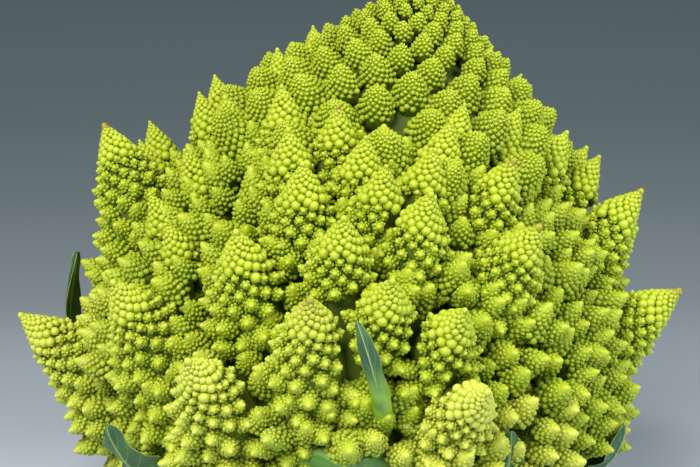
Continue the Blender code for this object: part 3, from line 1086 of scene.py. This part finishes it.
RIB_WIDTH = 0.14


def around(turn, reach, height):
    """The point at a turn in degrees from -Y, and a reach from the axis and a height in millimetres."""
    angle = math.radians(turn)
    return np.array([reach * math.sin(angle), -reach * math.cos(angle), height]) * MM


def leaf_frame(start, bend, end, face_turn, share):
    """The path's centre and its side, face and forward directions at a share of its length. The path is
    a quadratic curve through the start and the end, drawn towards the bend."""
    first = around(*start)
    middle = around(*bend)
    last = around(*end)
    t = share[:, None]
    centre = (1 - t) ** 2 * first + 2 * t * (1 - t) * middle + t * t * last
    along = unit((1 - t) * (middle - first) + t * (last - middle))
    level = np.repeat(around(start[0] + 90, 1, 0)[None], len(share), axis=0)
    side = unit(level - (level * along).sum(axis=1, keepdims=True) * along)
    face = np.cross(along, side)
    twist = np.radians(face_turn) * t
    turned_side = np.cos(twist) * side + np.sin(twist) * face
    turned_face = np.cos(twist) * face - np.sin(twist) * side
    return centre, turned_side, turned_face, along


def build_leaf(name, finish):
    """A leaf as one closed tube. With x the place across, from -1 to 1, the half thickness is the
    blade's × sqrt(1 - x²), plus a rib's × exp(-(x / rib width)²), most of it on the back. The edge is
    lobed and wavy by sums of sines along the leaf, and the blade is cupped by x²."""
    start, bend, end, (root, waist, blade), face_turn, waves, blade_from = LEAVES[name]
    chance = np.random.default_rng(sum(map(ord, name)))
    t = np.linspace(0.0, 0.995, LEAF_ROWS)[::-1]
    centre, side, face, along = leaf_frame(start, bend, end, face_turn, t)
    swell = np.sin(np.pi * np.clip((t - 0.35) / 0.6, 0, 1))
    width = root + (waist - root) * np.minimum(1, 2 * t)
    width = width + (blade - width) * swell
    tip_from = 0.84 if waves == 0 else 0.8
    width = width * np.sqrt(1 - np.clip((t - tip_from) / (1 - tip_from), 0, 1) ** 2)
    flat = np.clip((t - blade_from) / 0.12, 0, 1) * (waves > 0)
    turn = 2 * np.pi * np.arange(LEAF_SIDES) / LEAF_SIDES
    x = np.cos(turn)[None, :]
    t, flat, width = (values[:, None] for values in (t, flat, width))
    phases = chance.uniform(0, 6.28, 4)
    right_lobes = np.sin(30 * t + phases[0]) + 0.6 * np.sin(67 * t + phases[1])
    left_lobes = np.sin(27 * t + phases[2]) + 0.6 * np.sin(59 * t + phases[3])
    lobes = np.where(x > 0, right_lobes, left_lobes)
    half = 0.5 * width * MM * (1 + 0.13 * flat * lobes * np.abs(x))
    solid_half = BASE_HALF if waves == 0 else STALK_HALF
    thin = (BLADE_HALF * flat + solid_half * (1 - flat)) * np.minimum(1, width / 3)
    rib = flat * RIB_DEPTH * np.exp(-((x / RIB_WIDTH) ** 2)) * np.minimum(1, width / 4)
    lift = np.sin(turn)[None, :]
    rise = lift * thin + np.where(lift > 0, 0.2 * rib, -rib) * np.abs(lift) ** 0.3
    bend_up = LEAF_CUP * 2 * half * x ** 2
    swing = np.sin(24 * t + np.where(x > 0, phases[0], phases[2]))
    wave = 0.35 * waves * flat * half * np.abs(x) ** 1.5 * swing
    out_of_face = rise + bend_up + wave
    points = centre[:, None] + (half * x)[:, :, None] * side[:, None]
    points = points + out_of_face[:, :, None] * face[:, None]
    points = np.concatenate([
        points[0].mean(axis=0, keepdims=True) + 0.2 * MM * along[:1],
        points.reshape(-1, 3),
        points[-1].mean(axis=0, keepdims=True),
    ])
    where = np.stack([np.broadcast_to(values, half.shape) for values in (x, t, flat)], 2)
    where = np.concatenate([where[0, :1], where.reshape(-1, 3), where[-1, :1]])
    tones = np.repeat([[chance.uniform(), 0.0, 0.0]], len(points), axis=0)
    heap = Heap()
    heap.add(points, tube_faces(LEAF_ROWS, LEAF_SIDES), where, tones)
    return place_piece(heap.piece(name + "_blade", finish), name)


# %% [markdown]
# ## The leaves' finish
# The blade is a waxy blue-green. Its rib, its side veins and its edge are paler, and the thick lower
# part is a bright yellow-green that turns dark where a leaf base was cut short. The side veins leave
# the rib at a slant, so their pattern repeats in the distance along, less a part of that across.

# %% Write the leaves' finish
def leaf_finish():
    recipe = Recipe("leaf_skin", Coat_Roughness=0.25, Subsurface_Weight=0.06, Subsurface_Scale=0.001)
    across_leaf, along_leaf, flat = recipe.triple("growth")
    off_rib = across_leaf.size()
    clouds = recipe.noise(90.0)
    fine = recipe.noise(900.0, detail=2.0)
    repeat = ((along_leaf * 13.0 - off_rib * 1.6) + 0.25 * clouds).fraction()
    side_vein = (1.0 - (repeat - 0.5).size() * 14.0).clamped() * (1.0 - off_rib * 0.7)
    rib = (1.0 - off_rib * 9.0).clamped()
    edge = ((off_rib - 0.93) * 18.0).clamped()
    pale = (side_vein * 0.45 + rib + edge * 0.6).clamped() * flat
    blade = recipe.ramp(clouds, [
        (0.3, (0.012, 0.055, 0.026)),
        (0.5, (0.028, 0.105, 0.036)),
        (0.72, (0.075, 0.180, 0.035)),
    ])
    stem = recipe.ramp(clouds + 0.5 * (along_leaf - 0.4), [
        (0.2, (0.06, 0.16, 0.006)),
        (0.5, (0.14, 0.30, 0.012)),
        (0.62, (0.22, 0.40, 0.03)),
        (0.76, (0.06, 0.19, 0.008)),
    ])
    skin = recipe.mixed(stem, blade, flat)
    pale = pale + 0.5 * ((off_rib - 0.9) * 10.0).clamped() * (1.0 - flat)
    skin = recipe.mixed(skin, (0.36, 0.50, 0.15, 1.0), pale.clamped())
    rough = 0.3 + 0.2 * flat + 0.1 * fine
    recipe.set(Base_Color=skin, Roughness=rough, Coat_Weight=0.5 - 0.35 * flat)
    recipe.bump(fine * 0.4 + side_vein * flat, 0.35, 0.0003)
    return recipe.material


leaf_skin = leaf_finish()
leaf_slots = {name: "leaf" for name in LEAVES}
leaf_slots["leaf_stub_front"] = "leaf_base"
leaves = [build_leaf(name, leaf_skin) for name, slot in leaf_slots.items()]
print(len(leaves), "leaves, each of", len(leaves[0].data.polygons), "faces")

# %% [markdown]
# ## The stalk
# The stalk is an upright stump that was cut flat with a knife. Its side is shallowly ribbed and keeps
# the crescent scars of leaves that were trimmed off. The cut face shows the plant's build: a green
# rind, a ring of pale fibres and a wide moist pith. Above the stump the stem leans with the head.

# %% Build the stalk
# Each scar has its turn in degrees, and its height and half width in millimetres. The cut face's
# rings have a radius and a height in millimetres.
STALK_SIDES = 120
STALK_SCARS = ((20, 17, 9), (95, 12, 10), (160, 20, 8), (215, 9, 9), (290, 16, 10), (335, 22, 7))
CUT_RADII = np.array([24.55, 24.1, 23.5, 22, 20, 17, 13, 9, 5, 2])
CUT_HEIGHTS = np.array([0.9, 0.35, 0.0, 0, 0, 0, 0, 0, 0, 0])
STEM_TOP = HEAD_TIP - 51.6 * MM
stalk_turn = 2 * np.pi * np.arange(STALK_SIDES) / STALK_SIDES


def stalk_rings(radii, heights):
    """Rings of points about z, one for each height. A radius may be one for a ring or vary round it."""
    radii = radii * np.ones(STALK_SIDES)
    levels = heights[:, None] * np.ones(STALK_SIDES)
    return np.stack([radii * np.cos(stalk_turn), radii * np.sin(stalk_turn), levels], 2)


def scar_depth(height, radius):
    """How deep a scar lies at each point of the stump's side, from 0 to 1. With d the distance from a
    scar's middle over its half width, it is exp(-((d - 0.8) / 0.22)²), and half as much inside."""
    deepest = np.zeros((len(height), STALK_SIDES))
    for where, level, size in STALK_SCARS:
        off = np.abs((np.degrees(stalk_turn) - where + 180) % 360 - 180)
        apart = off * math.radians(1) * radius
        climb = (height - level * MM) / (0.45 * size * MM)
        oval = np.sqrt((apart / (size * MM)) ** 2 + climb ** 2)
        deepest = np.maximum(deepest, np.exp(-(((oval - 0.8) / 0.22) ** 2)) + 0.5 * (oval < 0.75))
    return np.minimum(deepest, 1)


def build_stalk(finish):
    """Rings from the top of the leaning stem down its side, round the cut edge and in over the cut face.
    The stem's radius changes evenly. The stump's is ribbed by sums of cosines and sunk at the scars."""
    stem = np.linspace(STEM_TOP, 2 * MM, 24)
    stem_radius = 21 * MM + (stem / STEM_TOP) * (8 - 21) * MM
    stump = np.linspace(STUMP_TOP - 4 * MM, 1.6 * MM, 50)
    stump_radius = np.interp(stump, [0, 18 * MM, 30 * MM], [25 * MM, 24.2 * MM, 21.4 * MM])
    wide = stump_radius[:, None]
    scar = scar_depth(stump[:, None], wide)
    ribs = 0.008 * np.cos(7 * stalk_turn + 1) + 0.006 * np.cos(13 * stalk_turn + 30 * stump[:, None])
    ribbed = wide * (1 + ribs - 0.012) - 0.35 * MM * scar
    rings = [
        out_of_head(stalk_rings(stem_radius[:, None], stem)),
        stalk_rings(ribbed, stump),
        stalk_rings(CUT_RADII[:, None] * MM, CUT_HEIGHTS * MM),
    ]
    points = np.concatenate([ring.reshape(-1, 3) for ring in rings])
    outward = np.ones(len(points))
    scarred = np.zeros(len(points))
    cut = np.zeros(len(points))
    face_from = (len(stem) + len(stump)) * STALK_SIDES
    outward[face_from:] = np.repeat(CUT_RADII / 25, STALK_SIDES)
    scarred[len(stem) * STALK_SIDES:face_from] = scar.ravel()
    cut[face_from:] = np.repeat(CUT_HEIGHTS < 0.5, STALK_SIDES)
    where = np.stack([outward, scarred, cut], 1)
    top = out_of_head(np.array([[0.0, 0.0, STEM_TOP]]))
    points = np.concatenate([top, points, np.zeros((1, 3))])
    where = np.concatenate([where[:1], where, np.array([[0.0, 0.0, 1.0]])])
    heap = Heap()
    rows = len(stem) + len(stump) + len(CUT_RADII)
    heap.add(points, tube_faces(rows, STALK_SIDES), where, np.zeros((len(points), 3)))
    return place_piece(heap.piece("stalk_skin", finish), "stalk")


def stalk_finish():
    """Pale green skin with fine lengthwise streaks, brown in the scars, and the cut face's rings."""
    recipe = Recipe("stalk_skin", Subsurface_Weight=0.08, Subsurface_Scale=0.002)
    outward, scar, cut = recipe.triple("growth")
    clouds = recipe.noise(120.0)
    fine = recipe.noise(1200.0, detail=2.0)
    drawn_out = {"Vector": recipe.place(), "Scale": (900.0, 900.0, 60.0)}
    stretched = recipe.node("ShaderNodeMapping", {}, drawn_out)
    streaks = recipe.node("ShaderNodeTexNoise", {}, {"Vector": stretched, "Scale": 1.0, "Detail": 3.0})
    side = recipe.ramp(0.6 * clouds + 0.5 * streaks, [
        (0.35, (0.22, 0.36, 0.07)),
        (0.55, (0.36, 0.50, 0.15)),
        (0.75, (0.52, 0.63, 0.28)),
    ])
    side = recipe.mixed(side, (0.30, 0.22, 0.09, 1.0), scar * 0.75)
    face = recipe.ramp(outward + 0.05 * (streaks - 0.5), [
        (0.0, (0.66, 0.70, 0.42)),
        (0.6, (0.60, 0.66, 0.36)),
        (0.74, (0.78, 0.80, 0.58)),
        (0.84, (0.50, 0.60, 0.24)),
        (0.97, (0.24, 0.38, 0.08)),
    ])
    recipe.set(Base_Color=recipe.mixed(side, face, cut), Roughness=0.5 - 0.15 * cut + 0.15 * fine)
    recipe.bump(streaks + 0.4 * fine, 0.3, 0.0003)
    return recipe.material


stalk = build_stalk(stalk_finish())
print("the stalk has", len(stalk.data.polygons), "faces")

# %% [markdown]
# ## The stage and the lights
# A plain pale sheet runs back under the head. Two large soft lights stand in front and above, and a
# dim sky fills the shade. The lights are near, so the sheet darkens as it runs away from them. Its
# colour is painted as well, as painted light and shade: pale up to the head, darkest some 30 to 50 cm
# behind it and lighter again far back.

# %% Lay the sheet and light it
SHEET_HALF = 4
SKY_COLOUR = (0.75, 0.85, 0.9, 1.0)
SKY_STRENGTH = 0.12
HEAD_MIDDLE = (0, 0, 0.08)


def add_light(name, place, aimed_at, size, power, colour):
    """A rectangular light at a place, turned to face a point."""
    lamp = bpy.data.lights.new(name, "AREA")
    lamp.shape = "RECTANGLE"
    lamp.size, lamp.size_y = size
    lamp.energy = power
    lamp.color = colour
    made = bpy.data.objects.new(name, lamp)
    made.location = place
    made.rotation_euler = (Vector(aimed_at) - Vector(place)).to_track_quat("-Z", "Y").to_euler()
    bpy.context.scene.collection.objects.link(made)


bpy.context.scene.view_settings.view_transform = "Standard"

sheet_mesh = bpy.data.meshes.new("sheet")
sheet_corners = [(SHEET_HALF * x, SHEET_HALF * y, 0) for x, y in ((-1, -1), (1, -1), (1, 1), (-1, 1))]
sheet_mesh.from_pydata(sheet_corners, [], [(0, 1, 2, 3)])
sheet = bpy.data.objects.new("sheet", sheet_mesh)
bpy.context.scene.collection.objects.link(sheet)
sheet_recipe = Recipe("sheet_painted_light_and_shade", Roughness=0.9)
how_far_back = sheet_recipe.node("ShaderNodeSeparateXYZ", {}, {"Vector": sheet_recipe.place()}, out=1)
# Painted light and shade: the sheet's colour runs from pale near the camera to darkest 30 to 50 cm
# behind the head, and lighter again far back.
sheet_recipe.set(Base_Color=sheet_recipe.ramp((how_far_back + 0.2) / 2.0, [
    (0.12, (0.50, 0.57, 0.64)),
    (0.17, (0.33, 0.38, 0.425)),
    (0.24, (0.225, 0.27, 0.30)),
    (0.36, (0.205, 0.265, 0.285)),
    (0.50, (0.235, 0.31, 0.33)),
    (0.90, (0.43, 0.56, 0.59)),
]))
sheet_mesh.materials.append(sheet_recipe.material)

world = bpy.data.worlds.new("sky")
world.use_nodes = True
sky = world.node_tree.nodes["Background"]
sky.inputs["Color"].default_value = SKY_COLOUR
sky.inputs["Strength"].default_value = SKY_STRENGTH
bpy.context.scene.world = world

add_light("key_light", (-0.35, -0.65, 0.75), HEAD_MIDDLE, (0.6, 0.6), 15.0, (1.0, 0.98, 0.95))
add_light("side_light", (0.75, -0.3, 0.5), HEAD_MIDDLE, (0.5, 0.6), 7.0, (0.97, 0.99, 1.0))
print("two lights and a sky over a sheet", 2 * SHEET_HALF, "m wide")
